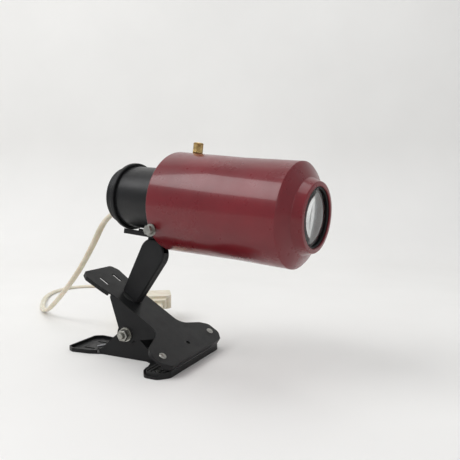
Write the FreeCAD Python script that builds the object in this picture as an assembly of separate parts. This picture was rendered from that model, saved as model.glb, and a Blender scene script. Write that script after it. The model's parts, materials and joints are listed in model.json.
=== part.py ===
# Clamp spotlight: a sheet-steel spring clamp, a swivelling and tilting arm, and a round head with a lens.
# Millimetres, +Z up. The origin is on the surface that the clamp lies on, in the clamp's middle plane, under
# the foot of the arm. +X points from the clamp's handles to its jaws, and +Y to its left.
import FreeCAD, Part
import math
import os
from FreeCAD import Placement, Rotation, Vector

GAP = 0.3              # play between pieces of different bodies
PIN_PLAY = 0.06        # radial play of a running fit

# Clamp levers. Each lever's own frame starts at the foot of the perpendicular from the pivot to its outer
# face: s runs towards the jaw, u across, and depth from the outer face towards the pivot.
SHEET = 1.2            # sheet steel
LEVER_ANGLE = 31.0     # between the two levers with the jaws closed
PIVOT = Vector(2.5, 0.0, 21.5)
PIVOT_DEPTH = 21.5     # outer face of a lever to the pivot
HANDLE_END = -63.0
HANDLE_HALF = 22.0
NECK_START = -30.0
UPPER_NECK_HALF = 17.4
LOWER_NECK_HALF = UPPER_NECK_HALF - SHEET - GAP
JAW_REAR = 33.0
JAW_FRONT = 58.0
JAW_HALF = 48.0
RIM_DEPTH = 3.6        # rims of the handle and jaw
LIP_DEPTH = 4.9        # front lips of the jaws
RIVET_S = 46.0
RIVET_U = 39.0
PAD_THICK = 3.6
PIVOT_R = 2.5
WIRE_R = 1.0
COIL_R = 6.5

# Arm, in a frame that stands on the upper lever's outer face with z along the arm.
ARM_FOOT_S = -19.5     # where the arm stands on the upper lever
ARM_HEIGHT = 45.6      # face of the lever to the tilt pin
ARM_TOP_R = 13.2
ARM_FOOT_HALF = 9.4
ARM_THICK = 9.0
ARM_WASHER = 0.8
SLOT_HALF = 2.6        # half the width of the slot that the bracket's lug works in
TILT_PIN_R = 2.0
SWIVEL_REST = -8.4     # the arm as it is set, turned about its own length
HEAD_DIP = 4.6         # the head as it is set, nose down

# Head, in a frame on the shell's axis: x runs forward from the shell's rear rim, z up.
SHELL_R = 40.0
SHELL_THICK = 1.0
SHELL_LENGTH = 112.4
NECK_BASE_X = 116.0
NECK_BASE_R = 27.4
NECK_FRONT_X = 124.0
NECK_FRONT_R = 25.8
OPENING_R = 22.2
TUBE_R = 26.3
TUBE_FRONT = 34.0
CAP_R = 27.6
CAP_REAR = -61.0
CAP_FRONT = -47.8
BRACKET_TOP = -27.7
BRACKET_BOTTOM = -32.2
TILT_X = -21.2
TILT_Z = -46.8
CARRIER_X = 7.0
CARRIER_LENGTH = 14.0
THUMB_X = 14.0
SIDE_BOLT_X = 3.6
SIDE_BOLT_DROP = 23.5  # side bolts below the axis
CORD_EXIT_Z = -13.0

# Cord: a flat twin lead, and the part of it that is folded away with its plug.
CORD_WIDTH = 6.2
CORD_THICK = 3.6
HANK_CENTRE = Vector(-57.0, 90.0, 0.0)
HANK_ALONG = Vector(-0.577, 0.817, 0.0).normalize()
HANK_HALF_RUN = 33.0
HANK_TURN_R = 18.6
HANK_LAYERS = 4
CORD_ROUTE = [
    (-38, 7, 116), (-60, 18, 92), (-90, 30, 61), (-127, 44, 31), (-162, 60, 8), (-190, 80, 3.1),
    (-223, 113, 3.1), (-254, 156, 3.1), (-259, 203, 3.1), (-224, 229, 3.1), (-176, 212, 3.1),
    (-138, 172, 3.1), (-110, 131, 3.1), (-90, 103, 3.1)]

X, Y, Z = Vector(1, 0, 0), Vector(0, 1, 0), Vector(0, 0, 1)
os.makedirs("parts", exist_ok=True)


def rounded_edges(points, radii, closed=True):
    """Straight edges through the points, with a tangent arc of the given radius at each corner."""
    count = len(points)
    corners = range(count) if closed else range(1, count - 1)
    joints = [[p, p] for p in points]
    arcs = {}
    for i in corners:
        p = points[i]
        before = (points[i - 1] - p).normalize()
        after = (points[(i + 1) % count] - p).normalize()
        if radii[i] <= 0:
            continue
        half = before.getAngle(after) / 2
        reach = radii[i] / math.tan(half)
        middle = (before + after).normalize() * (radii[i] / math.sin(half) - radii[i])
        joints[i] = [p + before * reach, p + after * reach]
        arcs[i] = Part.Arc(joints[i][0], p + middle, joints[i][1])
    edges = []
    for i in range(count if closed else count - 1):
        if i in arcs:
            edges.append(arcs[i].toShape())
        start, end = joints[i][1], joints[(i + 1) % count][0]
        if (end - start).Length > 1e-6:
            edges.append(Part.LineSegment(start, end).toShape())
    return edges


def slab(outline, radii, low, high):
    """A plate in the XY plane between two heights, with rounded corners."""
    points = [Vector(x, y, low) for x, y in outline]
    face = Part.Face(Part.Wire(rounded_edges(points, radii)))
    return face.extrude(Z * (high - low))


def turned(outline, radii=None):
    """A solid turned about X from points (x, radius)."""
    points = [Vector(x, 0, r) for x, r in outline]
    face = Part.Face(Part.Wire(rounded_edges(points, radii or [0] * len(points))))
    return face.revolve(Vector(), X, 360)


def rod(radius, start, end):
    """A round bar between two points."""
    return Part.makeCylinder(radius, (end - start).Length, start, end - start)


def hex_bar(across_flats, start, end):
    """A hexagonal bar between two points."""
    radius = across_flats / math.sqrt(3)
    corners = [Vector(radius * math.cos(math.radians(a)), radius * math.sin(math.radians(a)), 0)
               for a in range(0, 420, 60)]
    bar = Part.Face(Part.makePolygon(corners)).extrude(Z * (end - start).Length)
    bar.Placement = Placement(start, Rotation(Z, end - start))
    return bar


def box(low, high):
    """A box between two corners."""
    size = Vector(*high) - Vector(*low)
    return Part.makeBox(size.x, size.y, size.z, Vector(*low))


def mirrored(shape):
    """The same shape on the other side of the middle plane."""
    return shape.mirror(Vector(), Y)


def save(name, placement, *solids):
    """Writes one node, moved from its own frame to the lamp's."""
    shape = solids[0] if len(solids) == 1 else Part.makeCompound(list(solids))
    shape = shape.copy()
    shape.Placement = placement.multiply(shape.Placement)
    if not shape.isValid():
        raise ValueError(name + " is not valid")
    shape.exportStep("parts/" + name + ".step")
    return shape


# Frames. A lever's frame has depth along -Z for the upper lever, and along +Z for the lower one.
LOWER = Placement(Vector(PIVOT.x, 0, PIVOT.z - PIVOT_DEPTH), Rotation())
UPPER = Placement(PIVOT, Rotation(Y, LEVER_ANGLE)).multiply(Placement(Vector(0, 0, PIVOT_DEPTH), Rotation()))
ARM = UPPER.multiply(Placement(Vector(ARM_FOOT_S, 0, 0), Rotation(Z, SWIVEL_REST)))
TILT = ARM.multiply(Placement(Vector(0, 0, ARM_HEIGHT), Rotation(Y, HEAD_DIP - LEVER_ANGLE)))
HEAD = TILT.multiply(Placement(Vector(-TILT_X, 0, -TILT_Z), Rotation()))
ROW = Placement()


def lever_outline(neck_half):
    """Half of a lever's outline, as points (s, u) and the radius at each."""
    return ([(HANDLE_END, HANDLE_HALF - 4), (HANDLE_END + 7, HANDLE_HALF), (NECK_START - 8, HANDLE_HALF - 2),
             (NECK_START + 3, neck_half), (JAW_REAR - 8, neck_half), (JAW_REAR, JAW_HALF - 8),
             (JAW_REAR + 6, JAW_HALF), (JAW_FRONT - 7, JAW_HALF), (JAW_FRONT, JAW_HALF - 8)],
            [4, 5, 6, 6, 11, 7, 6, 6, 5])


def lever_slab(neck_half, inset, low, high):
    """A lever's whole outline, as a plate, drawn in from the edge by the inset."""
    half, radii = lever_outline(neck_half)
    points = half + [(s, -u) for s, u in reversed(half)]
    plate = slab(points, radii + radii[::-1], low, high)
    if inset:
        bottom = min(plate.Faces, key=lambda f: f.CenterOfMass.z)
        wire = bottom.OuterWire.makeOffset2D(-inset)
        return Part.Face(wire).extrude(Z * (high - low))
    return plate


def rim(neck_half, s_low, s_high, depth):
    """The turned-up rim of the sheet, between two stations along the lever."""
    ring = lever_slab(neck_half, 0, 0, depth).cut(lever_slab(neck_half, SHEET, 0, depth))
    return ring.common(box((s_low, -60, 0), (s_high, 60, depth)))


def cheek(neck_half):
    """One side wall of a lever, with the lug that holds the pivot bolt."""
    y = neck_half - SHEET
    outline = [(NECK_START, 0), (NECK_START, RIM_DEPTH), (-9, PIVOT_DEPTH), (9, PIVOT_DEPTH),
               (JAW_REAR - 4, RIM_DEPTH), (JAW_REAR - 4, 0)]
    points = [Vector(s, y, d) for s, d in outline]
    wall = Part.Face(Part.Wire(rounded_edges(points, [0, 3, 0, 0, 6, 0]))).extrude(Y * SHEET)
    return wall.fuse(rod(9.0, Vector(0, y, PIVOT_DEPTH), Vector(0, y + SHEET, PIVOT_DEPTH)))


def slot_hole(s, u):
    """A slot in the handle."""
    cutter = box((s, u - 1.3, -1), (s + 9, u + 1.3, SHEET + 1))
    for end in (s, s + 9):
        cutter = cutter.fuse(rod(1.3, Vector(end, u, -1), Vector(end, u, SHEET + 1)))
    return cutter


def lever(neck_half, pivot_play):
    """A stamped lever with depth along +Z."""
    body = lever_slab(neck_half, 0, 0, SHEET)
    body = body.fuse([rim(neck_half, HANDLE_END - 1, NECK_START - 2, RIM_DEPTH),
                      rim(neck_half, JAW_REAR - 2, JAW_FRONT - 6, 2.4),
                      rim(neck_half, JAW_FRONT - 6, JAW_FRONT + 1, LIP_DEPTH),
                      cheek(neck_half), mirrored(cheek(neck_half))])
    holes = [slot_hole(HANDLE_END + 12, u) for u in (-9, 9)]
    holes += [rod(1.6, Vector(RIVET_S, u, -1), Vector(RIVET_S, u, 3)) for u in (-RIVET_U, RIVET_U)]
    holes.append(rod(1.9, Vector(RIVET_S, 0, -1), Vector(RIVET_S, 0, 3)))
    holes.append(rod(PIVOT_R + pivot_play, Vector(0, -30, PIVOT_DEPTH), Vector(0, 30, PIVOT_DEPTH)))
    return body.cut(holes).removeSplitter()


def pad():
    """A rubber gripping pad inside a jaw, with ribs across it."""
    low, high = JAW_REAR + 4, JAW_FRONT - 4.5
    body = slab([(low, -44), (high, -44), (high, 44), (low, 44)], [3, 3, 3, 3], SHEET, SHEET + PAD_THICK)
    top = SHEET + PAD_THICK
    ribs = [box((low + 2 + i * 3.6, -45, top - 0.8), (low + 3.4 + i * 3.6, 45, top + 1)) for i in range(4)]
    holes = [rod(1.6, Vector(RIVET_S, u, 0), Vector(RIVET_S, u, 9)) for u in (-RIVET_U, RIVET_U)]
    wells = [rod(3.3, Vector(RIVET_S, u, SHEET + 2), Vector(RIVET_S, u, 9)) for u in (-RIVET_U, RIVET_U)]
    return body.cut(ribs + holes + wells)


def rivets():
    """The two rivets of a jaw: a domed head outside, and a spread end in the pad's well."""
    made = []
    for u in (-RIVET_U, RIVET_U):
        dome = Part.makeSphere(4.0, Vector(RIVET_S, u, 2.5)).common(box((0, u - 9, -1.5), (99, u + 9, 0)))
        shank = rod(1.5, Vector(RIVET_S, u, 0), Vector(RIVET_S, u, SHEET + 2))
        tail = rod(2.9, Vector(RIVET_S, u, SHEET + 2), Vector(RIVET_S, u, SHEET + 2.9))
        made.append(dome.fuse([shank, tail]))
    return made


FLIP = Placement(Vector(), Rotation(X, 180))  # turns depth +Z into depth -Z


def clamp():
    """Levers, pads, rivets, pivot bolt and spring."""
    upper_frame = UPPER.multiply(FLIP)
    upper = lever(UPPER_NECK_HALF, PIN_PLAY)
    upper = upper.cut(rod(TILT_PIN_R + PIN_PLAY, Vector(ARM_FOOT_S, 0, -1), Vector(ARM_FOOT_S, 0, 3)))
    save("upper_lever", upper_frame, upper)
    save("lower_lever", LOWER, lever(LOWER_NECK_HALF, 0.02))
    for side, frame in (("upper", upper_frame), ("lower", LOWER)):
        save(side + "_jaw_pad", frame, pad())
    save("upper_pad_rivets", upper_frame, *rivets())
    flush = [r.common(box((0, -60, 0), (99, 60, 9))) for r in rivets()]
    save("lower_pad_rivets", LOWER, *flush)
    pivot_bolt()
    torsion_spring()


def pivot_bolt():
    """The bolt that both levers turn on, its nut and its two washers."""
    at = Placement(PIVOT, Rotation())
    face = UPPER_NECK_HALF + 0.1
    washer = 1.0
    bolt = rod(PIVOT_R, Vector(0, -face - 8.4, 0), Vector(0, face + washer, 0))
    head = hex_bar(8, Vector(0, face + washer, 0), Vector(0, face + washer + 3.5, 0))
    save("pivot_bolt", at, bolt.fuse(head))
    rings = []
    for y in (-face - washer, face):
        ring = rod(6.0, Vector(0, y, 0), Vector(0, y + washer, 0))
        rings.append(ring.cut(rod(PIVOT_R + 0.1, Vector(0, y - 1, 0), Vector(0, y + 2, 0))))
    save("pivot_washers", at, *rings)
    nut = hex_bar(9, Vector(0, -face - washer - 5.0, 0), Vector(0, -face - washer, 0))
    save("pivot_nut", at, nut.cut(rod(PIVOT_R + 0.02, Vector(0, -40, 0), Vector(0, -10, 0))))


def torsion_spring():
    """A spring of five coils about the bolt. Each leg presses on the inside of a handle."""
    pitch, coils = 2.3, 5
    width = pitch * coils
    helix = Part.makeHelix(pitch, width, COIL_R)
    section = Part.Wire(Part.Circle(Vector(COIL_R, 0, 0), Y, WIRE_R).toShape())
    coil = Part.Wire(helix).makePipeShell([section], True, True)
    coil.rotate(Vector(), X, 90)
    coil.translate(Vector(0, width / 2, 0))
    solids = [coil]
    lower_end = Vector(-40, 0, -(PIVOT_DEPTH - SHEET - WIRE_R - 0.2))
    turn = Rotation(Y, LEVER_ANGLE)
    upper_end = turn.multVec(Vector(-40, 0, PIVOT_DEPTH - SHEET - WIRE_R - 0.2))
    for side, end, sign in ((1, upper_end, 1), (-1, lower_end, -1)):
        y = side * width / 2
        start = turn.multVec(Vector(2, 0, COIL_R)) if sign > 0 else Vector(2, 0, -COIL_R)
        solids.append(rod(WIRE_R, Vector(start.x, y, start.z), Vector(end.x, y, end.z)))
    save("torsion_spring", Placement(PIVOT, Rotation()), solids[0].fuse(solids[1:]))


def arm_body():
    """The arm's outer shape: a tongue with a round top, tapering to its foot."""
    foot = ARM_WASHER + 0.05
    points = [Vector(x, 0, z) for x, z in ((-ARM_FOOT_HALF, foot), (ARM_FOOT_HALF, foot), (ARM_TOP_R, ARM_HEIGHT),
                                           (0, ARM_HEIGHT + ARM_TOP_R), (-ARM_TOP_R, ARM_HEIGHT))]
    edges = [Part.LineSegment(points[i], points[j]).toShape() for i, j in ((0, 1), (1, 2), (4, 0))]
    edges.insert(2, Part.Arc(points[2], points[3], points[4]).toShape())
    body = Part.Face(Part.Wire(edges)).extrude(Y * ARM_THICK)
    body.translate(Vector(0, -ARM_THICK / 2, 0))
    outer = [e for e in body.Edges
             if abs(abs(e.CenterOfMass.y) - ARM_THICK / 2) < 0.01 and e.CenterOfMass.z > foot + 0.1]
    return body.makeFillet(1.6, outer)


def arm():
    """Two half shells that hold the tilt pin and the swivel screw's nut between them."""
    low = ARM_HEIGHT - 9.0
    slot = box((-20, -SLOT_HALF, low), (10.4, SLOT_HALF, ARM_HEIGHT + 20))
    pin_hole = rod(TILT_PIN_R + 0.01, Vector(0, -3.6, ARM_HEIGHT), Vector(0, 3.6, ARM_HEIGHT))
    screw_hole = rod(TILT_PIN_R + 0.1, Vector(0, 0, -1), Vector(0, 0, 18))
    pocket = hex_bar(7.2, Vector(0, 0, 6.9), Vector(0, 0, 10.3))
    lightening = box((-5.5, -2.4, 19), (5.5, 2.4, low - 3))
    body = arm_body().cut([slot, pin_hole, screw_hole, pocket, lightening])
    for name, low_y in (("arm_shell_right", -10), ("arm_shell_left", 0)):
        half = body.common(box((-30, low_y, -5), (30, low_y + 10, 80)))
        save(name, ARM, half)
    screw = rod(TILT_PIN_R, Vector(0, 0, -SHEET - 2.2), Vector(0, 0, 17))
    head = rod(4.0, Vector(0, 0, -SHEET - 4.6), Vector(0, 0, -SHEET - 2.2))
    save("arm_screw", ARM, screw.fuse(head))
    nut = hex_bar(7, Vector(0, 0, 7), Vector(0, 0, 10.2))
    save("arm_nut", ARM, nut.cut(rod(TILT_PIN_R + 0.02, Vector(0, 0, 5), Vector(0, 0, 12))))
    disc = rod(8.2, Vector(0, 0, 0.05), Vector(0, 0, ARM_WASHER)).cut(rod(2.2, Vector(), Vector(0, 0, 2)))
    save("arm_friction_washer", ARM, disc)
    low_z = -SHEET - 2.15
    spring = Part.makeCone(5.0, 3.4, 1.5, Vector(0, 0, low_z + 0.35))
    spring = spring.cut([Part.makeCone(4.4, 2.8, 1.5, Vector(0, 0, low_z)),
                         rod(2.2, Vector(0, 0, -9), Vector(0, 0, 2))])
    save("arm_spring_washer", ARM, spring)
    save("tilt_pin", ARM, rod(TILT_PIN_R, Vector(0, -3.5, ARM_HEIGHT), Vector(0, 3.5, ARM_HEIGHT)))
    discs = []
    for y in (-SLOT_HALF + 0.05, 1.3):
        disc = rod(6.0, Vector(0, y, ARM_HEIGHT), Vector(0, y + 1.2, ARM_HEIGHT))
        discs.append(disc.cut(rod(TILT_PIN_R + 0.05, Vector(0, -5, ARM_HEIGHT), Vector(0, 5, ARM_HEIGHT))))
    save("tilt_friction_discs", ARM, *discs)


def bracket():
    """The steel strip under the lamp tube, with a lug below for the tilt pin and a saddle for the shell."""
    strip = box((-49, -10, BRACKET_BOTTOM), (18, 10, BRACKET_BOTTOM + 1.6))
    strip = strip.fuse([box((-49, y, BRACKET_BOTTOM), (18, y + 1.6, BRACKET_TOP - 0.4)) for y in (-10, 8.4)])
    eye = TILT_Z - BRACKET_BOTTOM
    sides = [(-7.5, 0), (7.5, 0), (7.5, -6), (5.5, eye), (-5.5, eye), (-7.5, -6), (-7.5, 0)]
    wall = Part.makePolygon([Vector(TILT_X + x, -1.2, BRACKET_BOTTOM + z) for x, z in sides])
    lug = Part.Face(wall).extrude(Y * 2.4)
    lug = lug.fuse(rod(5.5, Vector(TILT_X, -1.2, TILT_Z), Vector(TILT_X, 1.2, TILT_Z)))
    reach = math.sqrt((SHELL_R - SHELL_THICK - GAP) ** 2 - SIDE_BOLT_DROP ** 2)
    band_r = SHELL_R - SHELL_THICK - 0.5
    band = turned([(-2, band_r - 1.6), (9.5, band_r - 1.6), (9.5, band_r), (-2, band_r)])
    band = band.common(box((-3, -50, -50), (11, 50, -SIDE_BOLT_DROP + 5)))
    across = Vector(SIDE_BOLT_X, -50, -SIDE_BOLT_DROP)
    band = band.cut(rod(2.1, across, across + Y * 100))
    webs = [box((-2, y, -band_r + 3), (9.5, y + 1.6, BRACKET_BOTTOM + 1.6)) for y in (-10, 8.4)]
    feet = [w.common(turned([(-3, 0), (11, 0), (11, band_r), (-3, band_r)])) for w in webs]
    feet += [box((-2, y, -band_r + 1.4), (9.5, y + 1.6, -band_r + 3.1)) for y in (-10, 8.4)]
    body = strip.fuse([lug, band] + feet)
    body = body.cut(rod(TILT_PIN_R + PIN_PLAY, Vector(TILT_X, -9, TILT_Z), Vector(TILT_X, 9, TILT_Z)))
    save("bracket", HEAD, body.removeSplitter())
    return reach


def side_bolts(reach):
    """The two bolts at the shell's rear rim, with washers outside and nuts inside the bracket's saddle."""
    bolts, washers, nuts = [], [], []
    out = math.sqrt(SHELL_R ** 2 - (SIDE_BOLT_DROP - 5) ** 2) + 0.35
    for sign in (-1, 1):
        def at(y):
            return Vector(SIDE_BOLT_X, sign * y, -SIDE_BOLT_DROP)
        shank = rod(2.0, at(reach - 10.6), at(out + 1.1))
        bolts.append(shank.fuse(hex_bar(6.5, at(out + 1.1), at(out + 5.0))))
        washers.append(rod(4.9, at(out), at(out + 1.05)).cut(rod(2.1, at(out - 1), at(out + 3))))
        nuts.append(hex_bar(7, at(reach - 9.6), at(reach - 6.3)).cut(rod(2.02, at(reach - 14), at(reach))))
    save("side_bolts", HEAD, *bolts)
    save("side_bolt_washers", HEAD, *washers)
    save("side_bolt_nuts", HEAD, *nuts)


def shell():
    """The painted shell: a cylinder with a rounded shoulder, then a neck with an in-turned lip."""
    outer = [(0, 0), (0, SHELL_R - 0.3), (0.3, SHELL_R), (SHELL_LENGTH, SHELL_R), (NECK_BASE_X, NECK_BASE_R),
             (NECK_FRONT_X - 1, NECK_FRONT_R), (NECK_FRONT_X, NECK_FRONT_R - 1), (NECK_FRONT_X, 0)]
    t = SHELL_THICK
    inner = [(-1, 0), (-1, SHELL_R - t), (SHELL_LENGTH - 2.5, SHELL_R - t), (SHELL_LENGTH - 0.7, SHELL_R - 3),
             (NECK_BASE_X - t, NECK_BASE_R - t), (NECK_FRONT_X - 1.4, NECK_FRONT_R - t), (NECK_FRONT_X - 1.4, 0)]
    body = turned(outer, [0, 0, 0, 3.2, 0, 0, 0, 0]).cut(turned(inner))
    body.rotate(Vector(), X, 180)  # its seam runs along the bottom, clear of the screw's hole
    mouth = turned([(100, 0), (130, 0), (130, OPENING_R), (100, OPENING_R)])
    screw_hole = rod(2.2, Vector(THUMB_X, 0, 30), Vector(THUMB_X, 0, 50))
    notches = []
    for sign in (-1, 1):
        low_y, high_y = sorted((sign * 25, sign * 45))
        notch = box((-2, low_y, -SIDE_BOLT_DROP - 2.3), (SIDE_BOLT_X, high_y, -SIDE_BOLT_DROP + 2.3))
        ends = [Vector(SIDE_BOLT_X, y, -SIDE_BOLT_DROP) for y in (low_y, high_y)]
        notches.append(notch.fuse(rod(2.3, *ends)))
    save("shell", HEAD, body.cut([mouth, screw_hole] + notches))


def lens_parts():
    """The convex lens, the black ring in front of it and the spring ring behind it."""
    seat = NECK_FRONT_R - SHELL_THICK - 0.5
    edge_x, crown = NECK_FRONT_X - 7.2, 5.0
    rim_x = edge_x + 2.2
    profile = [Part.LineSegment(Vector(edge_x, 0, 0), Vector(edge_x, 0, seat)).toShape(),
               Part.LineSegment(Vector(edge_x, 0, seat), Vector(rim_x, 0, seat)).toShape()]
    radius = (seat ** 2 + crown ** 2) / (2 * crown)
    half = seat / 2
    rise = math.sqrt(radius ** 2 - half ** 2) - (radius - crown)
    top = Vector(rim_x + crown, 0, 0)
    profile.append(Part.Arc(Vector(rim_x, 0, seat), Vector(rim_x + rise, 0, half), top).toShape())
    profile.append(Part.LineSegment(top, Vector(edge_x, 0, 0)).toShape())
    save("lens", HEAD, Part.Face(Part.Wire(profile)).revolve(Vector(), X, 360))
    front, inner = NECK_FRONT_X - 1.45, OPENING_R - 1.5
    ring = [(rim_x + 1.65, inner), (front, inner), (front, seat), (rim_x + 0.2, seat), (rim_x + 0.4, seat - 0.5)]
    save("lens_front_ring", HEAD, turned(ring))
    low, high = edge_x - 1.7, edge_x - 0.1
    spring = turned([(low, seat - 1.6), (high, seat - 1.6), (high, seat), (low, seat)])
    save("lens_spring_ring", HEAD, spring.cut(box((edge_x - 3, -2, -30), (edge_x + 1, 2, -10))))


def thumb_screw():
    """The knurled screw on top of the shell, and the clip nut inside that it turns in."""
    base = SHELL_R + 0.3
    head = rod(4.1, Vector(THUMB_X, 0, base), Vector(THUMB_X, 0, base + 8.4))
    rims = [e for e in head.Edges if len(e.Vertexes) == 1]
    head = head.makeChamfer(0.5, rims)
    grooves = []
    for i in range(24):
        a = math.radians(15 * i)
        x, y = THUMB_X + 4.35 * math.cos(a), 4.35 * math.sin(a)
        grooves.append(rod(0.42, Vector(x, y, base + 1.3), Vector(x, y, base + 7.4)))
    shank = rod(2.0, Vector(THUMB_X, 0, 36.0), Vector(THUMB_X, 0, base))
    save("thumb_screw", HEAD, head.cut(grooves).fuse(shank))
    nut = box((THUMB_X - 4, -4, 36.6), (THUMB_X + 4, 4, 38.7))
    inside = SHELL_R - SHELL_THICK - 0.02
    nut = nut.common(turned([(0, 0), (40, 0), (40, inside), (0, inside)]))
    save("thumb_screw_nut", HEAD, nut.cut(rod(2.04, Vector(THUMB_X, 0, 30), Vector(THUMB_X, 0, 42))))


def carrier():
    """The ring that centres the shell on the lamp tube, with air holes and a flat on top for the screw."""
    rim_r = SHELL_R - SHELL_THICK - GAP
    x0, x1 = CARRIER_X + 4, CARRIER_X + 4 + CARRIER_LENGTH
    ring = turned([(x0, rim_r - 1.4), (x1, rim_r - 1.4), (x1, rim_r), (x0, rim_r)])
    web = turned([(x1 - 1.4, TUBE_R + 0.05), (x1, TUBE_R + 0.05), (x1, rim_r - 1.0), (x1 - 1.4, rim_r - 1.0)])
    body = ring.fuse(web)
    slots = []
    for angle in (0, 45, 135, 180):
        hole = rod(3.6, Vector(x1 - 5, 0, 32), Vector(x1 + 3, 0, 32))
        hole.rotate(Vector(), X, angle - 90)
        slots.append(hole)
    top = box((x0 - 1, -30, 35.6), (x1 + 1, 30, 60))
    floor = box((x0, -12, 34.2), (x1, 12, 35.6))
    relief = box((x0 - 1, -10.02, BRACKET_BOTTOM - 0.02), (x1 + 1, 10.02, -26))
    body = body.cut([top] + slots).fuse(floor.common(turned([(x0, 0), (x1, 0), (x1, rim_r), (x0, rim_r)])))
    save("shell_carrier", HEAD, body.cut(relief).removeSplitter())


def lamp_tube():
    """The black tube, its rear cap, the lamp holder and the bulb."""
    tube = turned([(CAP_FRONT + 0.1, TUBE_R - 1.2), (TUBE_FRONT, TUBE_R - 1.2), (TUBE_FRONT, TUBE_R),
                   (CAP_FRONT + 0.1, TUBE_R)])
    save("lamp_tube", HEAD, tube)
    cap = turned([(CAP_REAR, 0), (CAP_REAR, CAP_R), (CAP_FRONT - 2.2, CAP_R), (CAP_FRONT - 2.2, CAP_R + 0.5),
                  (CAP_FRONT, CAP_R + 0.5), (CAP_FRONT, 0)], [0, 5.0, 0, 0.2, 0.2, 0])
    wall = TUBE_R - 1.6
    hollow = turned([(CAP_REAR + 2, 0), (CAP_REAR + 2, wall), (CAP_FRONT + 1, wall), (CAP_FRONT + 1, 0)])
    hole = rod(3.9, Vector(CAP_REAR - 1, 0, CORD_EXIT_Z), Vector(CAP_REAR + 3, 0, CORD_EXIT_Z))
    save("rear_cap", HEAD, cap.cut([hollow, hole]))
    bush = rod(3.8, Vector(CAP_REAR - 0.2, 0, CORD_EXIT_Z), Vector(CAP_REAR + 3.5, 0, CORD_EXIT_Z))
    cone = Part.makeCone(4.4, 5.6, 5.0, Vector(CAP_REAR - 5.05, 0, CORD_EXIT_Z), X)
    bore = box((CAP_REAR - 9, -3.2, CORD_EXIT_Z - 1.9), (CAP_REAR + 9, 3.2, CORD_EXIT_Z + 1.9))
    bush = save("cord_bush", HEAD, bush.fuse(cone).cut(bore))
    grip = box((CAP_REAR + 3.7, -7, CORD_EXIT_Z - 4), (CAP_REAR + 9.7, 7, CORD_EXIT_Z + 4))
    save("cord_grip", HEAD, grip.cut(box((CAP_REAR, -3.4, CORD_EXIT_Z - 1.9), (0, 3.4, CORD_EXIT_Z + 1.9))))
    holder = turned([(-46, 0), (-46, 12), (-40, 12), (-40, 15), (-8, 15), (-8, 13.8), (-30, 13.8), (-30, 0)])
    flange = turned([(-44, 12), (-42.5, 12), (-42.5, TUBE_R - 1.3), (-44, TUBE_R - 1.3)])
    save("lamp_holder", HEAD, holder.fuse(flange))
    save("bulb_cap", HEAD, turned([(-29.8, 0), (-29.8, 5), (-27, 6.6), (-27, 13.3), (-6, 13.3), (-6, 0)]))
    glass = [(-5.9, 0), (-5.9, 12.5), (2, 13.5), (18, 21), (24, 22.5), (31, 22.5), (37, 18), (40.5, 10), (42, 0)]
    inside = [(-4.9, 0), (-4.9, 11.4), (1.7, 12.4), (17.6, 19.9), (24, 21.4), (30.5, 21.4), (36.2, 17.2),
              (39.5, 9.6), (41, 0)]
    bulb = turned(glass).cut(turned(inside))
    save("bulb_glass", HEAD, bulb)
    return bush


def cord_tube():
    """The cord from the bush to the hank, as straight runs joined by tangent arcs."""
    start = HEAD.multVec(Vector(CAP_REAR - 5.1, 0, CORD_EXIT_Z))
    points = [start] + [Vector(*p) for p in CORD_ROUTE]
    radii = [0.0] * len(points)
    for i in range(1, len(points) - 1):
        before, after = points[i] - points[i - 1], points[i + 1] - points[i]
        turn = before.getAngle(after)
        radii[i] = 0.45 * min(before.Length, after.Length) / math.tan(turn / 2)
    print("cord start", [round(v, 1) for v in start], "radii", [round(r) for r in radii[1:-1]])
    path = Part.Wire(rounded_edges(points, radii, closed=False))
    section = Part.Wire(Part.Circle(start, points[1] - start, CORD_WIDTH / 2).toShape())
    tube = path.makePipeShell([section], True, False)
    expected = math.pi * (CORD_WIDTH / 2) ** 2 * path.Length
    print("cord path", round(path.Length, 1), "volume ratio", round(tube.Volume / expected, 4))
    return tube


def hank_solid(inner, outer, low, high):
    """A flat loop with two straight sides, between two offsets from its middle line."""
    def track(radius):
        ends = []
        for sign in (1, -1):
            centre = HANK_CENTRE + HANK_ALONG * (sign * HANK_HALF_RUN)
            ends.append(Part.makeCylinder(radius, high - low, centre + Z * low))
        across = HANK_ALONG.cross(Z)
        corners = [HANK_CENTRE + HANK_ALONG * (a * HANK_HALF_RUN) + across * (b * radius) + Z * low
                   for a, b in ((1, 1), (1, -1), (-1, -1), (-1, 1), (1, 1))]
        middle = Part.Face(Part.makePolygon(corners)).extrude(Z * (high - low))
        return middle.fuse(ends).removeSplitter()
    return track(outer).cut(track(inner))


def cord_set(bush):
    """The cord's tube from the bush to the hank, the hank, its tie and the plug that lies on it."""
    top = HANK_LAYERS * CORD_THICK + 0.4
    hank = hank_solid(HANK_TURN_R - CORD_WIDTH / 2 - 0.3, HANK_TURN_R + CORD_WIDTH / 2 + 0.3, 0, top)
    save("cord_tube", ROW, cord_tube().cut([hank, bush]))
    save("cord_hank", ROW, hank)
    frame = Placement(HANK_CENTRE, Rotation(X, HANK_ALONG))
    wide = HANK_TURN_R + CORD_WIDTH / 2 + 0.6
    tie = box((-5, -wide - 1.2, 0), (5, wide + 1.2, top + 1.5))
    save("cord_tie", frame, tie.cut(box((-9, -wide, -1), (9, wide, top + 0.3))))
    base = top + 1.8
    frame = frame.multiply(Placement(Vector(0, -HANK_TURN_R, 0), Rotation()))
    body = slab([(-14, -13), (18, -13), (18, 13), (-14, 13)], [7, 4, 4, 7], base, base + 14)
    boss = slab([(-24, -6), (-12, -8), (-12, 8), (-24, 6)], [2, 0, 0, 2], base + 2.5, base + 11.5)
    save("plug_body", frame, body.fuse(boss))
    pins = [rod(2.0, Vector(18.05, y, base + 7), Vector(37, y, base + 7)) for y in (-9.3, 9.3)]
    save("plug_pins", frame, *pins)


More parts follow.
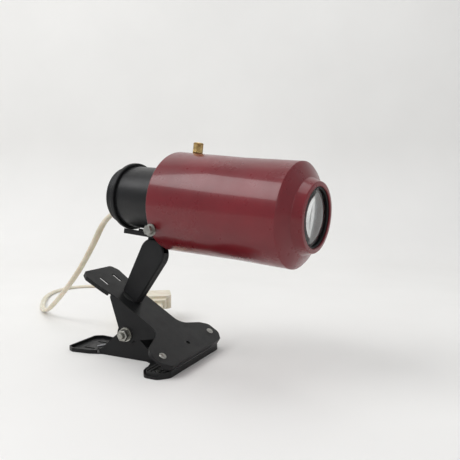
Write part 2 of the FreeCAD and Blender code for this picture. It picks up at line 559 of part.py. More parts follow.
clamp()
arm()
side_bolts(bracket())
shell()
lens_parts()
thumb_screw()
carrier()
cord_set(lamp_tube())
for label, frame in (("UPPER", UPPER), ("ARM", ARM), ("TILT", TILT), ("HEAD", HEAD)):
    axes = [[round(v, 5) for v in frame.Rotation.multVec(a)] for a in (X, Y, Z)]
    print(label, [round(v, 3) for v in frame.Base], axes)
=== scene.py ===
"""Looks for the clamp spotlight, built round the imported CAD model, in metres and in the CAD frame."""
import bmesh
import bpy
import json
import math
from mathutils import Matrix, Vector


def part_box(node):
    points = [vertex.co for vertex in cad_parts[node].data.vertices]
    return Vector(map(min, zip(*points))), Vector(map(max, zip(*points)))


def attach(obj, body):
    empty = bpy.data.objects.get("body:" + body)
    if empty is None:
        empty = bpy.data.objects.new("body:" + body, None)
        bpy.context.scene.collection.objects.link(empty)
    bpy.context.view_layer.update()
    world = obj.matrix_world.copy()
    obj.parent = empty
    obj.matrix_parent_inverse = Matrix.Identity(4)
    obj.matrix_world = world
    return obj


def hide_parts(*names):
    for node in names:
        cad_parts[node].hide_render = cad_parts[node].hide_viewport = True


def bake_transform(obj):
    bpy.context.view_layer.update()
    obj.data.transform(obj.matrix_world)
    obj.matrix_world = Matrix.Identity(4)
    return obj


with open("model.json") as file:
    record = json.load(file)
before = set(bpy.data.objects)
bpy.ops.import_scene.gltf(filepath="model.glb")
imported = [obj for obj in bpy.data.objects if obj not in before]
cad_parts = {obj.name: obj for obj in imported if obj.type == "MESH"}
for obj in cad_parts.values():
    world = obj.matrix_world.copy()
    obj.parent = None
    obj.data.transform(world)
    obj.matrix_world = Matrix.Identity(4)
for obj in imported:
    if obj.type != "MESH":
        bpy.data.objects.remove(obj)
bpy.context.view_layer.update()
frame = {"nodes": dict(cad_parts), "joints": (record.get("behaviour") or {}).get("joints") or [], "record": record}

MM = 0.001
JOINTS = {j["name"]: j for j in frame["joints"]}

# The head's frame: x along the shell from its rear rim, z up. The joints give its axes.
HEAD_X = Vector(JOINTS["shell_slide"]["axis"]).normalized()
HEAD_Z = Vector(JOINTS["thumb_screw_turn"]["axis"]).normalized()
HEAD_Y = HEAD_Z.cross(HEAD_X)
THUMB_X, SHELL_R = 14.0, 40.0
HEAD_BASE = Vector(JOINTS["thumb_screw_turn"]["pos_m"]) - (HEAD_X * THUMB_X + HEAD_Z * SHELL_R) * MM

# Head sizes in millimetres, as in the CAD model.
SHELL_THICK = 1.0
SHELL_LENGTH = 112.4
NECK_BASE = (116.0, 27.4)
NECK_FRONT = (124.0, 25.8)
OPENING_R = 22.2
TUBE_R = 26.3
TUBE_FRONT = 34.0
CAP_R = 27.6
CAP_REAR = -61.0
CAP_FRONT = -47.8
CORD_EXIT_Z = -13.0
SIDE_BOLT = (3.6, -23.5)
NOTCH_R = 2.3

# Clamp, in its own stations along a lever, in millimetres.
LEVER_ANGLE = math.radians(31.0)
PIVOT = Vector(JOINTS["clamp_open"]["pos_m"]) / MM
PIVOT_DEPTH = 21.5
RIVET = (46.0, 39.0)

# Cord: a flat twin lead.
CORD_WIDTH = 6.2 * MM
CORD_THICK = 3.6 * MM
CORD_ROUTE = [
    (-0.038, 0.007, 0.116), (-0.060, 0.018, 0.092), (-0.090, 0.030, 0.061), (-0.127, 0.044, 0.031),
    (-0.162, 0.060, 0.008), (-0.190, 0.080, 0.0019), (-0.223, 0.113, 0.0019), (-0.254, 0.156, 0.0019),
    (-0.259, 0.203, 0.0019), (-0.224, 0.229, 0.0019), (-0.176, 0.212, 0.0019), (-0.138, 0.172, 0.0019),
    (-0.110, 0.131, 0.0022)]
HANK_CENTRE = Vector((-0.057, 0.090, 0.0))
HANK_ALONG = Vector((-0.577, 0.817, 0.0)).normalized()
HANK_ACROSS = HANK_ALONG.cross(Vector((0, 0, 1)))
HANK_HALF_RUN = 0.033
HANK_TURN_R = 0.0186
HANK_LOWEST = 0.0027
HANK_TURNS = 3
HANK_EXTRA_POINTS = 8
PLUG_LIFTS = (0.1, 0.25, 0.45, 0.65, 0.85, 1.0)
PLUG_ENDS = (-0.029, -0.020)
UPPER_CORD_END = 0.040
MIDDLE_CORD_END = 0.082
CORD_TOUCH_HEIGHT = 0.026

# View: the camera and the wall behind the lamp share a bearing.
VIEW_BEARING = math.radians(25.5)
VIEW_DIP = math.radians(4.8)


def matrix(base, x, y, z):
    """A frame as a matrix, from its origin in metres and its axes, for shapes drawn in millimetres."""
    m = Matrix((x, y, z)).transposed().to_4x4()
    m.translation = base
    return m @ Matrix.Scale(MM, 4)


HEAD = matrix(HEAD_BASE, HEAD_X, HEAD_Y, HEAD_Z)
LOWER = matrix(Vector((PIVOT.x, 0, PIVOT.z - PIVOT_DEPTH)) * MM,
               Vector((1, 0, 0)), Vector((0, 1, 0)), Vector((0, 0, 1)))
UPPER_X = Vector((math.cos(LEVER_ANGLE), 0, -math.sin(LEVER_ANGLE)))
UPPER_Z = Vector((math.sin(LEVER_ANGLE), 0, math.cos(LEVER_ANGLE)))
UPPER = matrix((PIVOT + UPPER_Z * PIVOT_DEPTH) * MM, UPPER_X, Vector((0, 1, 0)), UPPER_Z)


def set_camera():
    """The camera, level with the lamp's head and in front of it on its right."""
    data = bpy.data.cameras.new("camera")
    data.lens = 41.2
    data.sensor_width = 36
    camera = bpy.data.objects.new("camera", data)
    bpy.context.scene.collection.objects.link(camera)
    aim = Vector((-math.sin(VIEW_BEARING) * math.cos(VIEW_DIP), math.cos(VIEW_BEARING) * math.cos(VIEW_DIP),
                  -math.sin(VIEW_DIP)))
    camera.location = (0.2705, -0.3744, 0.147)
    camera.rotation_mode = "QUATERNION"
    camera.rotation_quaternion = aim.to_track_quat("-Z", "Y")
    bpy.context.scene.camera = camera


def mesh_object(name, vertices, faces, smooth_angle=35):
    """A new mesh object with sharp edges where faces meet at more than the angle."""
    mesh = bpy.data.meshes.new(name)
    mesh.from_pydata([tuple(v) for v in vertices], [], faces)
    obj = bpy.data.objects.new(name, mesh)
    bpy.context.scene.collection.objects.link(obj)
    return cleaned(obj, smooth_angle)


def cleaned(obj, smooth_angle=35):
    """Outward normals, smooth shading, and sharp edges above the angle."""
    work = bmesh.new()
    work.from_mesh(obj.data)
    bmesh.ops.recalc_face_normals(work, faces=work.faces)
    work.to_mesh(obj.data)
    work.free()
    obj.data.shade_smooth()
    obj.data.set_sharp_from_angle(angle=math.radians(smooth_angle))
    return obj


def rounded(points, radii, steps=6):
    """An outline with an arc at each corner that has a radius."""
    made = []
    for i, point in enumerate(points):
        p = Vector(point)
        if radii[i] <= 0 or i in (0, len(points) - 1):
            made.append(p)
            continue
        before = (Vector(points[i - 1]) - p).normalized()
        after = (Vector(points[i + 1]) - p).normalized()
        half = before.angle(after) / 2
        centre = p + (before + after).normalized() * (radii[i] / math.sin(half))
        start = p + before * (radii[i] / math.tan(half)) - centre
        end = p + after * (radii[i] / math.tan(half)) - centre
        for k in range(steps + 1):
            arm = start.slerp(end, k / steps)
            made.append(centre + arm)
    return made


def lathe(name, outline, place, segments=128, closed=True):
    """A solid turned about x from points (x, radius). A closed outline is a ring's section."""
    vertices, rings = [], []
    for x, r in outline:
        if r < 1e-6:
            rings.append([len(vertices)])
            vertices.append(place @ Vector((x, 0, 0)))
            continue
        rings.append(list(range(len(vertices), len(vertices) + segments)))
        for k in range(segments):
            a = 2 * math.pi * k / segments
            vertices.append(place @ Vector((x, r * math.cos(a), r * math.sin(a))))
    faces = []
    pairs = list(zip(rings, rings[1:])) + ([(rings[-1], rings[0])] if closed else [])
    for a, b in pairs:
        for k in range(segments):
            n = (k + 1) % segments
            corners = [a[k % len(a)], a[n % len(a)], b[n % len(b)], b[k % len(b)]]
            unique = list(dict.fromkeys(corners))
            if len(unique) > 2:
                faces.append(unique)
    return mesh_object(name, vertices, faces)


def applied(obj):
    """Makes the object's modifiers part of its mesh."""
    graph = bpy.context.evaluated_depsgraph_get()
    mesh = bpy.data.meshes.new_from_object(obj.evaluated_get(graph))
    obj.modifiers.clear()
    obj.data = mesh
    return obj


def carve(obj, cutter):
    """Cuts one object out of another and removes the cutter."""
    step = obj.modifiers.new("carve", "BOOLEAN")
    step.object = cutter
    step.operation = "DIFFERENCE"
    step.solver = "EXACT"
    applied(obj)
    bpy.data.objects.remove(cutter)
    return cleaned(obj)


def softened(obj, width, segments):
    """Rounds the edges that are sharper than 32 degrees, and keeps large faces flat in shading."""
    step = obj.modifiers.new("soften", "BEVEL")
    step.width = width * MM
    step.segments = segments
    step.limit_method = "ANGLE"
    step.angle_limit = math.radians(32)
    applied(obj)
    cleaned(obj, 50)
    step = obj.modifiers.new("flatten", "WEIGHTED_NORMAL")
    step.keep_sharp = True
    return applied(obj)


def from_cad(node, width, segments=2):
    """A copy of a CAD node with its edges rounded, which then stands for the node."""
    source = frame["nodes"][node]
    obj = bpy.data.objects.new(node + "_finished", source.data.copy())
    bpy.context.scene.collection.objects.link(obj)
    work = bmesh.new()
    work.from_mesh(obj.data)
    bmesh.ops.remove_doubles(work, verts=work.verts, dist=1e-6)
    bmesh.ops.dissolve_limit(work, angle_limit=math.radians(1.0), verts=work.verts, edges=work.edges)
    work.to_mesh(obj.data)
    work.free()
    return softened(obj, width, segments)


def place(obj, body, slot, material, *nodes):
    """Gives a finished piece its body, material and the nodes that it stands for; the slot argument is not used.
    """
    obj.data.materials.clear()
    obj.data.materials.append(material)
    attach(obj, body)
    if nodes:
        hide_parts(*nodes)
    return obj


# Materials. Each one is a Principled shader with its own noise for relief, and most also with noise for colour and
# roughness.

class Paint:
    """A node material, with short calls for the nodes that it needs."""

    def __init__(self, name, colour, roughness, **inputs):
        self.material = bpy.data.materials.new(name)
        self.material.use_nodes = True
        self.nodes = self.material.node_tree.nodes
        self.links = self.material.node_tree.links
        self.shader = next(n for n in self.nodes if n.type == "BSDF_PRINCIPLED")
        self.shader.inputs["Base Color"].default_value = (*colour, 1)
        self.shader.inputs["Roughness"].default_value = roughness
        for key, value in inputs.items():
            self.shader.inputs[key.replace("_", " ")].default_value = value
        self.coordinates = self.nodes.new("ShaderNodeTexCoord")

    def noise(self, scale, detail, rough=0.55):
        """Noise over the object."""
        node = self.nodes.new("ShaderNodeTexNoise")
        node.inputs["Scale"].default_value = scale
        node.inputs["Detail"].default_value = detail
        node.inputs["Roughness"].default_value = rough
        self.links.new(self.coordinates.outputs["Object"], node.inputs["Vector"])
        return node.outputs["Fac"]

    def ramp(self, source, *stops):
        """A colour ramp through (position, colour) stops."""
        node = self.nodes.new("ShaderNodeValToRGB")
        ramp = node.color_ramp
        while len(ramp.elements) < len(stops):
            ramp.elements.new(0.5)
        for element, (position, colour) in zip(ramp.elements, stops):
            element.position = position
            element.color = (*colour, 1)
        self.links.new(source, node.inputs["Fac"])
        return node.outputs["Color"]

    def colour(self, source):
        self.links.new(source, self.shader.inputs["Base Color"])
        return self

    def roughness(self, source, low, high):
        spread = self.nodes.new("ShaderNodeMapRange")
        spread.inputs["From Min"].default_value = 0.3
        spread.inputs["From Max"].default_value = 0.7
        spread.inputs["To Min"].default_value = low
        spread.inputs["To Max"].default_value = high
        self.links.new(source, spread.inputs["Value"])
        self.links.new(spread.outputs["Result"], self.shader.inputs["Roughness"])
        return self

    def relief(self, source, strength, distance):
        bump = self.nodes.new("ShaderNodeBump")
        bump.inputs["Strength"].default_value = strength
        bump.inputs["Distance"].default_value = distance
        self.links.new(source, bump.inputs["Height"])
        self.links.new(bump.outputs["Normal"], self.shader.inputs["Normal"])
        return self


def crimson_paint():
    m = Paint("crimson_paint", (0.1488, 0.00496, 0.00992), 0.24,
              Coat_Weight=0.4, Coat_Roughness=0.08, Specular_IOR_Level=0.3)
    m.colour(m.ramp(m.noise(26, 5), (0.32, (0.124, 0.00372, 0.00806)), (0.68, (0.1674, 0.0062, 0.0124))))
    m.roughness(m.noise(60, 6, 0.65), 0.24, 0.38)
    return m.relief(m.noise(520, 2), 0.025, 0.0002).material


def coated_steel():
    m = Paint("black_powder_coat", (0.008, 0.008, 0.0085), 0.38, Specular_IOR_Level=0.22)
    m.colour(m.ramp(m.noise(45, 5), (0.3, (0.006, 0.006, 0.0065)), (0.7, (0.0115, 0.0115, 0.012))))
    m.roughness(m.noise(90, 6, 0.7), 0.30, 0.50)
    return m.relief(m.noise(1500, 2), 0.22, 0.0002).material


def satin_black():
    m = Paint("satin_black", (0.0072, 0.0072, 0.0078), 0.34,
              Coat_Weight=0.1, Coat_Roughness=0.25, Specular_IOR_Level=0.25)
    m.colour(m.ramp(m.noise(38, 5), (0.3, (0.0054, 0.0054, 0.006)), (0.7, (0.0108, 0.0108, 0.0114))))
    m.roughness(m.noise(70, 6, 0.7), 0.28, 0.44)
    return m.relief(m.noise(900, 2), 0.12, 0.0002).material


def moulded_black():
    m = Paint("moulded_black", (0.00825, 0.00825, 0.0088), 0.42, Specular_IOR_Level=0.25)
    m.colour(m.ramp(m.noise(60, 4), (0.3, (0.00605, 0.00605, 0.0066)), (0.7, (0.01155, 0.01155, 0.0121))))
    m.roughness(m.noise(110, 5), 0.36, 0.54)
    return m.relief(m.noise(2200, 3), 0.30, 0.00018).material


def zinc():
    m = Paint("zinc_plate", (0.40, 0.40, 0.38), 0.34, Metallic=1.0)
    m.colour(m.ramp(m.noise(340, 5, 0.7), (0.3, (0.24, 0.235, 0.21)), (0.7, (0.46, 0.46, 0.43))))
    m.roughness(m.noise(500, 5, 0.7), 0.24, 0.48)
    return m.relief(m.noise(1300, 3), 0.18, 0.0001).material


def spring_wire():
    m = Paint("spring_wire", (0.30, 0.30, 0.31), 0.32, Metallic=1.0)
    m.colour(m.ramp(m.noise(260, 5), (0.3, (0.20, 0.20, 0.21)), (0.7, (0.40, 0.40, 0.41))))
    m.roughness(m.noise(420, 5), 0.24, 0.42)
    return m.relief(m.noise(1800, 2), 0.12, 0.0001).material


def brass():
    m = Paint("brass", (0.55, 0.38, 0.15), 0.34, Metallic=1.0)
    m.colour(m.ramp(m.noise(320, 5, 0.7), (0.28, (0.26, 0.17, 0.07)), (0.66, (0.62, 0.45, 0.20))))
    m.roughness(m.noise(480, 5), 0.26, 0.50)
    return m.relief(m.noise(1500, 3), 0.15, 0.0001).material


def clear_glass():
    m = Paint("lens_glass", (0.96, 0.98, 0.98), 0.02, Transmission_Weight=1.0, IOR=1.51)
    return m.roughness(m.noise(55, 5, 0.7), 0.0, 0.06).relief(m.noise(30, 2), 0.02, 0.0001).material


def frosted_glass():
    m = Paint("frosted_glass", (0.86, 0.85, 0.82), 0.4, Transmission_Weight=0.25, IOR=1.5)
    m.colour(m.ramp(m.noise(70, 4), (0.3, (0.82, 0.81, 0.77)), (0.7, (0.90, 0.89, 0.86))))
    return m.roughness(m.noise(200, 4), 0.28, 0.42).relief(m.noise(1800, 2), 0.1, 0.0001).material


def cream_pvc():
    m = Paint("cream_pvc", (0.70, 0.64, 0.50), 0.42, Subsurface_Weight=0.08, Sheen_Weight=0.05)
    m.colour(m.ramp(m.noise(75, 5, 0.65), (0.28, (0.60, 0.53, 0.39)), (0.72, (0.78, 0.73, 0.61))))
    m.roughness(m.noise(160, 5), 0.34, 0.52)
    return m.relief(m.noise(700, 3), 0.12, 0.0002).material


def ribbed_rubber():
    m = Paint("pad_rubber", (0.022, 0.022, 0.022), 0.7)
    m.colour(m.ramp(m.noise(130, 5), (0.3, (0.015, 0.015, 0.015)), (0.7, (0.035, 0.034, 0.033))))
    m.roughness(m.noise(260, 5), 0.60, 0.82)
    return m.relief(m.noise(1600, 4), 0.4, 0.0002).material


def black_nylon():
    m = Paint("black_nylon", (0.02, 0.02, 0.02), 0.45)
    m.colour(m.ramp(m.noise(180, 4), (0.3, (0.014, 0.014, 0.014)), (0.7, (0.028, 0.028, 0.027))))
    return m.roughness(m.noise(300, 4), 0.36, 0.54).relief(m.noise(1400, 2), 0.12, 0.0001).material


def holder_cream():
    m = Paint("holder_cream", (0.66, 0.62, 0.52), 0.28)
    m.colour(m.ramp(m.noise(90, 4), (0.3, (0.60, 0.56, 0.45)), (0.7, (0.72, 0.68, 0.58))))
    return m.roughness(m.noise(200, 4), 0.22, 0.36).relief(m.noise(900, 2), 0.08, 0.0001).material


def nickel():
    m = Paint("nickel_pins", (0.68, 0.67, 0.64), 0.18, Metallic=1.0)
    m.colour(m.ramp(m.noise(300, 5), (0.3, (0.58, 0.57, 0.54)), (0.7, (0.74, 0.73, 0.71))))
    return m.roughness(m.noise(600, 5), 0.12, 0.28).relief(m.noise(1500, 2), 0.08, 0.0001).material


def pale_stage():
    m = Paint("pale_stage", (0.80, 0.79, 0.77), 0.85)
    m.colour(m.ramp(m.noise(3, 4), (0.3, (0.78, 0.77, 0.75)), (0.7, (0.83, 0.82, 0.80))))
    return m.relief(m.noise(160, 3), 0.05, 0.0005).material


LOOKS = {
    "crimson_paint": crimson_paint(), "black_steel": coated_steel(), "satin_black": satin_black(),
    "black_plastic": moulded_black(), "zinc_steel": zinc(), "spring_steel": spring_wire(), "brass": brass(),
    "lens_glass": clear_glass(), "opal_glass": frosted_glass(), "holder_plastic": holder_cream(),
    "nylon": black_nylon(), "pad_rubber": ribbed_rubber(), "cord_pvc": cream_pvc(), "pin_metal": nickel()}


# Cord

def hank_points():
    """The hank's turns: two straight sides and two half circles, rising one thickness a turn."""
    bends = [math.radians(a) for a in (15, 45, 75, 105, 135, 165)]
    lap = [(HANK_HALF_RUN / 3, -1.0), (-HANK_HALF_RUN / 3, -1.0)]
    lap += [(-HANK_HALF_RUN, a - math.pi / 2) for a in bends]
    lap += [(-HANK_HALF_RUN / 3, 1.0), (HANK_HALF_RUN / 3, 1.0)]
    lap += [(HANK_HALF_RUN, a + math.pi / 2) for a in bends]
    points = []
    count = len(lap) * HANK_TURNS + HANK_EXTRA_POINTS
    radius = HANK_TURN_R / math.cos(math.radians(15)) ** 0.5
    for i in range(count):
        along, turn = lap[i % len(lap)]
        height = HANK_LOWEST + CORD_THICK * i / len(lap)
        if abs(along) < HANK_HALF_RUN / 2:
            at = HANK_ALONG * along + HANK_ACROSS * (turn * HANK_TURN_R)
        else:
            side = -1 if along < 0 else 1
            bend = (turn + math.pi / 2 if side < 0 else turn - math.pi / 2)
            at = HANK_ALONG * (along + side * radius * math.sin(bend))
            at += HANK_ACROSS * (side * radius * math.cos(bend))
        points.append(HANK_CENTRE + at + Vector((0, 0, height)))
    return points


def cord_line():
    """The cord's middle line, from inside the bush to the plug, read from one NURBS curve."""
    start = HEAD @ Vector((CAP_REAR - 1.0, 0, CORD_EXIT_Z))
    leave = HEAD @ Vector((CAP_REAR - 6.0, 0, CORD_EXIT_Z))
    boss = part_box("plug_body")
    level = (boss[0][2] + boss[1][2]) / 2
    hank = hank_points()
    for point, lift in zip(hank[-len(PLUG_LIFTS):], PLUG_LIFTS):
        point.z += (level - point.z) * lift
    side = HANK_CENTRE + HANK_ACROSS * HANK_TURN_R + Vector((0, 0, level))
    ends = [side + HANK_ALONG * a for a in PLUG_ENDS]
    points = [start, leave] + [Vector(p) for p in CORD_ROUTE] + hank + ends
    data = bpy.data.curves.new("cord_line", "CURVE")
    data.dimensions = "3D"
    data.resolution_u = 10
    spline = data.splines.new("NURBS")
    spline.points.add(len(points) - 1)
    for target, point in zip(spline.points, points):
        target.co = (*point, 1)
    spline.order_u = 3
    spline.use_endpoint_u = True
    obj = bpy.data.objects.new("cord_line", data)
    bpy.context.scene.collection.objects.link(obj)
    bpy.context.view_layer.update()
    mesh = bpy.data.meshes.new_from_object(obj)
    line = [v.co.copy() for v in mesh.vertices]
    bpy.data.objects.remove(obj)
    return line


def twin_section():
    """The outline of a flat twin lead: two round cores side by side, with a groove between them."""
    r = CORD_THICK / 2
    offset = CORD_WIDTH / 2 - r
    groove = math.acos(offset / r)
    outline = []
    for side in (1, -1):
        for k in range(9):
            a = -(math.pi - groove) + k * 2 * (math.pi - groove) / 8
            outline.append((side * (offset + r * math.cos(a)), side * r * math.sin(a)))
    return outline


def twin_lead(name, line):
    """The lead's mesh along a line, lying flat where the line is level."""
    section = twin_section()
    count = len(section)
    vertices, faces = [], []
    for i, p in enumerate(line):
        along = (line[min(i + 1, len(line) - 1)] - line[max(i - 1, 0)]).normalized()
        wide = along.cross(Vector((0, 0, 1))).normalized()
        up = wide.cross(along)
        vertices += [p + wide * u + up * v for u, v in section]
    for i in range(len(line) - 1):
        for k in range(count):
            n = (k + 1) % count
            faces.append([i * count + k, i * count + n, (i + 1) * count + n, (i + 1) * count + k])
    faces.append(list(range(count)))
    faces.append(list(range((len(line) - 1) * count, len(line) * count)))
    return mesh_object(name, vertices, faces, 80)


def cut_line(line, *lengths):
    """The line in consecutive stretches, cut near the given lengths from its start."""
    parts, part, run, marks = [], [line[0]], 0.0, list(lengths)
    for a, b in zip(line, line[1:]):
        run += (b - a).length
        part.append(b)
        if marks and run >= marks[0]:
            parts.append(part)
            part = [b]
            marks.pop(0)
    return parts + [part]


def plug_and_tie():
    """The tie round the hank, the plug's moulded body and its pins."""
    tie = from_cad("cord_tie", 0.35)
    place(tie, "base", "cord_pvc", LOOKS["cord_pvc"], "cord_tie")
    plug = from_cad("plug_body", 1.3, 4)
    place(plug, "base", "cord_pvc", LOOKS["cord_pvc"], "plug_body")
    pins = from_cad("plug_pins", 0.7, 3)
    place(pins, "base", "pin_metal", LOOKS["pin_metal"], "plug_pins")
    return [tie, plug, pins]


def cord():
    """One lead in three stretches, because it crosses three joints between the head and the floor."""
    line = cord_line()
    upper, middle, lower = cut_line(line, UPPER_CORD_END, MIDDLE_CORD_END)
    settled = Vector((lower[0].x, lower[0].y, CORD_TOUCH_HEIGHT))
    stretches = (("cord_upper", upper, "head", "arm", upper[-1]),
                 ("cord_middle", middle, "arm", "upper_clamp", middle[-1]),
                 ("cord_lower", lower, "upper_clamp", "base", settled))
    extras = plug_and_tie()
    for name, part, first, second, end in stretches:
        obj = twin_lead(name, part)
        obj.data.materials.append(LOOKS["cord_pvc"])
        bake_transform(obj)
        last = name == "cord_lower"
        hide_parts(*(["cord_hank", "cord_tube"] if last else ["cord_tube"]))


# Head

def shell():
    """The painted shell: a thin wall, a rounded shoulder, a turned-in lip and notches for the side bolts."""
    t = SHELL_THICK
    inside = [(0.2, SHELL_R - t), (SHELL_LENGTH - 2.5, SHELL_R - t), (SHELL_LENGTH - 0.7, SHELL_R - 3),
              (NECK_BASE[0] - t, NECK_BASE[1] - t), (NECK_FRONT[0] - 1.4, NECK_FRONT[1] - t),
              (NECK_FRONT[0] - 1.4, OPENING_R)]
    outside = [(NECK_FRONT[0] - 0.7, OPENING_R - 0.2), (NECK_FRONT[0], OPENING_R + 0.3), NECK_FRONT,
               NECK_BASE, (SHELL_LENGTH, SHELL_R), (0.0, SHELL_R), (0.0, SHELL_R - t)]
    corners = rounded(inside, [0, 0, 0, 1.2, 0, 0], 4) + rounded(outside, [0, 0, 1.3, 1.6, 3.2, 0.4, 0], 8)
    body = lathe("shell_painted", corners, HEAD, 192)
    x, z = SIDE_BOLT
    for side in (-1, 1):
        path = [(-2, z - NOTCH_R), (x, z - NOTCH_R)]
        path += [(x + NOTCH_R * math.sin(a), z - NOTCH_R * math.cos(a))
                 for a in (i * math.pi / 10 for i in range(1, 10))]
        path += [(x, z + NOTCH_R), (-2, z + NOTCH_R)]
        near, far = sorted((side * 25, side * 45))
        points = [HEAD @ Vector((px, y, pz)) for y in (near, far) for px, pz in path]
        n = len(path)
        faces = [list(range(n)), list(range(n, 2 * n))]
        faces += [[k, (k + 1) % n, n + (k + 1) % n, n + k] for k in range(n)]
        carve(body, mesh_object("notch_cutter", points, faces))
    place(body, "shell", "crimson_paint", LOOKS["crimson_paint"], "shell")


def lens_parts():
    """The lens and the front ring that holds it."""
    seat = NECK_FRONT[1] - SHELL_THICK - 0.5
    edge, crown = NECK_FRONT[0] - 7.2, 5.0
    rim = edge + 2.2
    bulge = (seat ** 2 + crown ** 2) / (2 * crown)
    dome = [(rim + math.sqrt(bulge ** 2 - (seat * k / 16) ** 2) - (bulge - crown), seat * k / 16)
            for k in range(16, -1, -1)]
    back = [(edge, 0), (edge, seat - 0.3), (edge + 0.3, seat)]
    lens = lathe("lens_polished", back + dome, HEAD, 128, False)
    place(lens, "shell", "lens_glass", LOOKS["lens_glass"], "lens")
    front, inner = NECK_FRONT[0] - 1.45, OPENING_R - 1.5
    outline = [(rim + 1.65, inner), (front - 0.4, inner), (front, inner + 0.4), (front, seat),
               (rim + 0.2, seat), (rim + 0.4, seat - 0.5)]
    ring = lathe("lens_front_ring_finished", outline, HEAD, 128)
    place(ring, "shell", "black_plastic", LOOKS["black_plastic"], "lens_front_ring")


def tube_and_cap():
    """The black tube and the moulded cap behind it, with the cap's parting step and rounded rear edge."""
    outline = [(CAP_FRONT + 0.1, TUBE_R - 1.2), (TUBE_FRONT, TUBE_R - 1.2), (TUBE_FRONT, TUBE_R),
               (CAP_FRONT + 0.1, TUBE_R)]
    tube = lathe("lamp_tube_finished", outline, HEAD, 160)
    place(tube, "head", "satin_black", LOOKS["satin_black"], "lamp_tube")
    lip = CAP_FRONT - 2.2
    outer = rounded([(CAP_REAR, 0), (CAP_REAR, CAP_R), (lip, CAP_R), (lip, CAP_R + 0.5),
                     (CAP_FRONT, CAP_R + 0.5), (CAP_FRONT, TUBE_R - 1.6)], [0, 5.0, 0, 0.2, 0.2, 0], 8)
    inner = [(CAP_REAR + 2, TUBE_R - 1.6), (CAP_REAR + 2, 0)]
    cap = lathe("rear_cap_finished", outer + inner, HEAD, 160, False)
    place(cap, "head", "black_plastic", LOOKS["black_plastic"], "rear_cap")


def thumb_screw():
    """The knurled head: straight flutes between two turned collars, a chamfered top and a plain shank."""
    flutes, per = 24, 6
    base = SHELL_R + 0.3
    levels = [(0.0, 3.7, 0), (0.3, 4.1, 0), (1.2, 4.1, 0), (1.5, 4.0, 0.42), (7.2, 4.0, 0.42),
              (7.5, 4.1, 0), (7.9, 4.1, 0), (8.4, 3.6, 0), (8.4, 1.6, 0), (8.1, 1.2, 0)]
    count = flutes * per
    vertices, faces = [], []
    for height, radius, depth in [(-4.3, 2.0, 0), (0.0, 2.0, 0)] + levels:
        for k in range(count):
            a = 2 * math.pi * k / count
            r = radius - depth * (0.5 - 0.5 * math.cos(flutes * a))
            vertices.append(HEAD @ Vector((THUMB_X + r * math.cos(a), r * math.sin(a), base + height)))
    rows = len(vertices) // count
    for i in range(rows - 1):
        for k in range(count):
            n = (k + 1) % count
            faces.append([i * count + k, i * count + n, (i + 1) * count + n, (i + 1) * count + k])
    faces += [list(range(count)), list(range((rows - 1) * count, rows * count))]
    screw = mesh_object("thumb_screw_knurled", vertices, faces, 40)
    place(screw, "thumb_screw", "brass", LOOKS["brass"], "thumb_screw")


def bulb():
    """The reflector bulb's glass, smooth and closed."""
    glass = [(-5.9, 0), (-5.9, 12.5), (2, 13.5), (18, 21), (24, 22.5), (31, 22.5), (37, 18), (40.5, 10),
             (42, 0)]
    outline = rounded(glass, [0, 1, 6, 6, 4, 6, 6, 6, 0], 6)
    inside = [(41, 0), (39.5, 9.6), (36.2, 17.2), (30.5, 21.2), (24, 21.2), (17.6, 19.7), (1.7, 12.2),
              (-4.9, 11.4), (-4.9, 0)]
    wall = lathe("bulb_glass_finished", outline, HEAD, 96, False)
    hollow = lathe("hollow_cutter", inside, HEAD, 96, False)
    place(carve(wall, hollow), "head", "opal_glass", LOOKS["opal_glass"], "bulb_glass")


# Clamp

def rivets():
    """Rivets through the jaws: domed heads on the upper jaw's outer face, flat heads under the lower jaw, with
    their shanks and spread ends.
    """
    s, u = RIVET
    for side, lever_frame, body in (("upper", UPPER, "upper_clamp"), ("lower", LOWER, "base")):
        flip = -1 if side == "upper" else 1
        for name, offset in (("far", u), ("near", -u)):
            dome = [(-1.45, 0), (-1.42, 0.8), (-1.25, 1.6), (-0.95, 2.3), (-0.5, 2.9), (-0.1, 3.15),
                    (0.0, 3.15)]
            if side == "lower":
                dome = [(0.05, 0), (0.05, 1.3)]
            tail = [(0.0, 1.5), (3.2, 1.5), (3.2, 2.9), (3.8, 2.7), (4.1, 1.4), (4.1, 0)]
            turn = Matrix(((0, 0, 1, s), (0, 1, 0, offset), (flip, 0, 0, 0), (0, 0, 0, 1)))
            piece = lathe(f"{side}_rivet_{name}", dome + tail, lever_frame @ turn, 48, False)
            place(piece, body, "zinc_steel", LOOKS["zinc_steel"], side + "_pad_rivets")


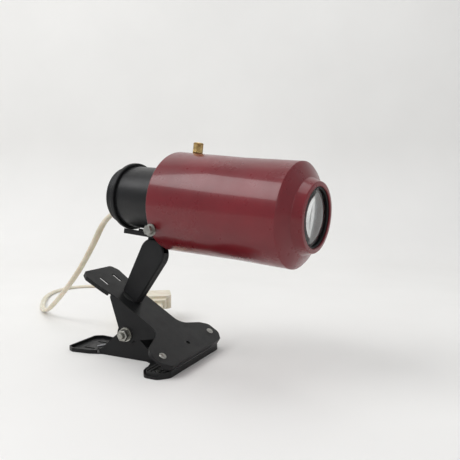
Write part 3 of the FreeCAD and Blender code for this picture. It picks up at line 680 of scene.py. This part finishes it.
def finished_nodes():
    """CAD nodes whose shape stays, with their edges rounded as stamping, moulding or plating leaves them."""
    table = (("upper_lever", 0.30), ("lower_lever", 0.30), ("bracket", 0.30), ("arm_shell_left", 0.25),
             ("arm_shell_right", 0.25), ("upper_jaw_pad", 0.25), ("lower_jaw_pad", 0.25),
             ("pivot_bolt", 0.35), ("pivot_nut", 0.45), ("side_bolts", 0.30), ("cord_bush", 0.25))
    slots = {p["node"]: p["material_slot"] for p in frame["record"]["subparts"]}
    bodies = {node: body for body, nodes in frame["record"]["behaviour"]["bodies"].items() for node in nodes}
    for node, width in table:
        place(from_cad(node, width), bodies[node], slots[node], LOOKS[slots[node]], node)


def dress_cad():
    """The detailed materials for every CAD node that is still shown."""
    for part in frame["record"]["subparts"]:
        obj = frame["nodes"][part["node"]]
        if obj.hide_render:
            continue
        look = LOOKS[part["material_slot"]]
        if not obj.material_slots:
            obj.data.materials.append(look)
        for holder in obj.material_slots:
            holder.material = look


def stage():
    """A pale floor that curves up into a wall, and soft light from the upper left."""
    radius, back, height = 0.25, 0.75, 2.2
    profile = [(-2.0, 0.0), (back - radius, 0.0)]
    profile += [(back - radius + radius * math.sin(a), radius - radius * math.cos(a))
                for a in (i * math.pi / 24 for i in range(1, 13))]
    profile.append((back, height))
    turn = Matrix.Rotation(VIEW_BEARING, 4, "Z")
    vertices = [turn @ Vector((x, y, z)) for y, z in profile for x in (-2.6, 2.6)]
    faces = [[2 * i, 2 * i + 1, 2 * i + 3, 2 * i + 2] for i in range(len(profile) - 1)]
    floor = mesh_object("floor", vertices, faces, 60)
    floor.data.materials.append(pale_stage())
    world = bpy.data.worlds.new("world")
    world.use_nodes = True
    world.node_tree.nodes["Background"].inputs["Color"].default_value = (0.95, 0.97, 1.0, 1)
    world.node_tree.nodes["Background"].inputs["Strength"].default_value = 0.55
    bpy.context.scene.world = world
    bpy.context.scene.view_settings.view_transform = "Standard"
    for name, spot, size, power in (("key", (-0.9, -0.9, 1.5), 1.1, 16), ("fill", (1.3, -1.0, 0.9), 1.4, 4),
                                    ("top", (0.1, 0.1, 1.7), 1.0, 6)):
        data = bpy.data.lights.new(name, "AREA")
        data.size, data.energy = size, power
        light = bpy.data.objects.new(name, data)
        bpy.context.scene.collection.objects.link(light)
        light.location = spot
        light.rotation_mode = "QUATERNION"
        light.rotation_quaternion = (Vector((0.05, 0, 0.1)) - Vector(spot)).to_track_quat("-Z", "Y")


set_camera()
cord()
shell()
lens_parts()
tube_and_cap()
thumb_screw()
bulb()
rivets()
finished_nodes()
dress_cad()
stage()
